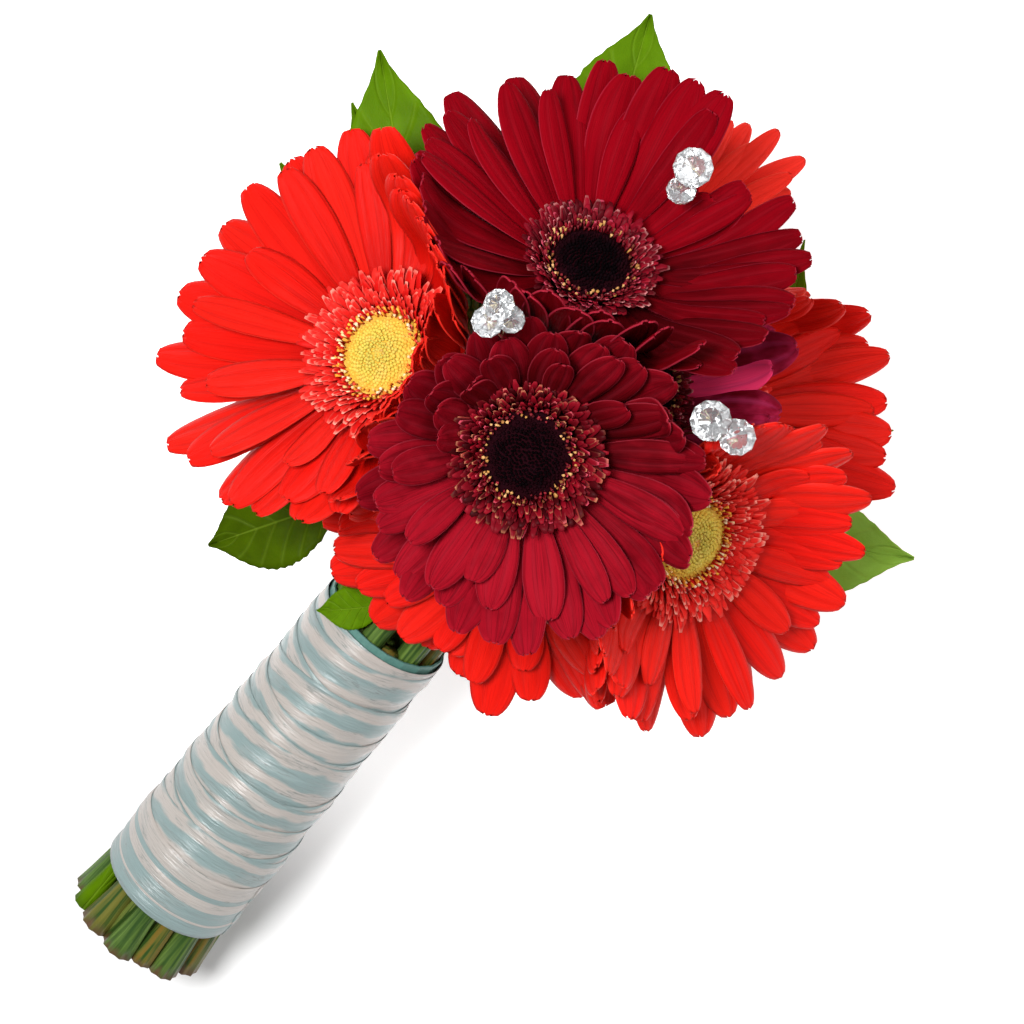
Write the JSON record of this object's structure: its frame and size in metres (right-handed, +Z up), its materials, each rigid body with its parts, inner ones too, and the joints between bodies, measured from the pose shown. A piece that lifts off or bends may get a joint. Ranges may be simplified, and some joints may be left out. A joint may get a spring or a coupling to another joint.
{
  "type": "gerbera bouquet",
  "caption": "Hand-tied bouquet of red and burgundy gerberas with a leaf collar and crystal picks, its stems bound and wrapped in striped satin ribbon, lying down.",
  "frame": {"origin": "on the surface the bouquet lies on, under the middle of its bounding box", "axes": "+X along the bouquet from the cut stem ends to the head, +Y to its left seen from above, +Z up"},
  "size_m": [0.3246, 0.2222, 0.2126],
  "materials": {
    "red_petals": "bright red soft petals with faint lengthwise streaks",
    "orange_red_petals": "orange-red soft petals",
    "burgundy_petals": "very dark velvety burgundy petals with a dusty sheen",
    "crimson_petals": "velvety dark crimson petals",
    "magenta_petals": "velvety magenta-burgundy petals",
    "yellow_centre": "yellow-green centre florets",
    "dark_centre": "near-black bristly centre florets",
    "stem": "ribbed fresh green stem, brownish at the cut end",
    "leaf": "leathery mid-green leaf with arching veins",
    "tape": "green-teal binding tape",
    "ribbon": "satin, lengthwise stripes of pale teal and off-white",
    "crystal": "clear faceted crystal",
    "wire": "thin golden wire"
  },
  "bodies": {
    "root": {"bloom_front_rays": "burgundy_petals", "bloom_front_disc": "dark_centre", "bloom_front_stem": "stem", "bloom_top_rays": "crimson_petals", "bloom_top_disc": "dark_centre", "bloom_top_stem": "stem", "bloom_left_rays": "red_petals", "bloom_left_disc": "yellow_centre", "bloom_left_stem": "stem", "bloom_right_rays": "red_petals", "bloom_right_disc": "yellow_centre", "bloom_right_stem": "stem", "bloom_side_rays": "red_petals", "bloom_side_disc": "yellow_centre", "bloom_side_stem": "stem", "bloom_between_rays": "magenta_petals", "bloom_between_disc": "dark_centre", "bloom_between_stem": "stem", "bloom_tip_rays": "orange_red_petals", "bloom_tip_disc": "yellow_centre", "bloom_tip_stem": "stem", "bloom_low_rays": "red_petals", "bloom_low_disc": "yellow_centre", "bloom_low_stem": "stem", "bloom_under_left_rays": "red_petals", "bloom_under_left_disc": "yellow_centre", "bloom_under_left_stem": "stem", "bloom_under_right_rays": "orange_red_petals", "bloom_under_right_disc": "yellow_centre", "bloom_under_right_stem": "stem", "bloom_under_rays": "red_petals", "bloom_under_disc": "yellow_centre", "bloom_under_stem": "stem", "sprig_left": "leaf", "sprig_low_left": "leaf", "sprig_head": "leaf", "sprig_right": "leaf", "sprig_under_left": "leaf", "sprig_under_right": "leaf", "binding_tape": "tape", "ribbon": "ribbon", "pick_top_wire": "wire", "pick_top_crystal_1": "crystal", "pick_top_crystal_2": "crystal", "pick_left_wire": "wire", "pick_left_crystal_1": "crystal", "pick_left_crystal_2": "crystal", "pick_left_crystal_3": "crystal", "pick_right_wire": "wire", "pick_right_crystal_1": "crystal", "pick_right_crystal_2": "crystal"}
  },
  "joints": []
}
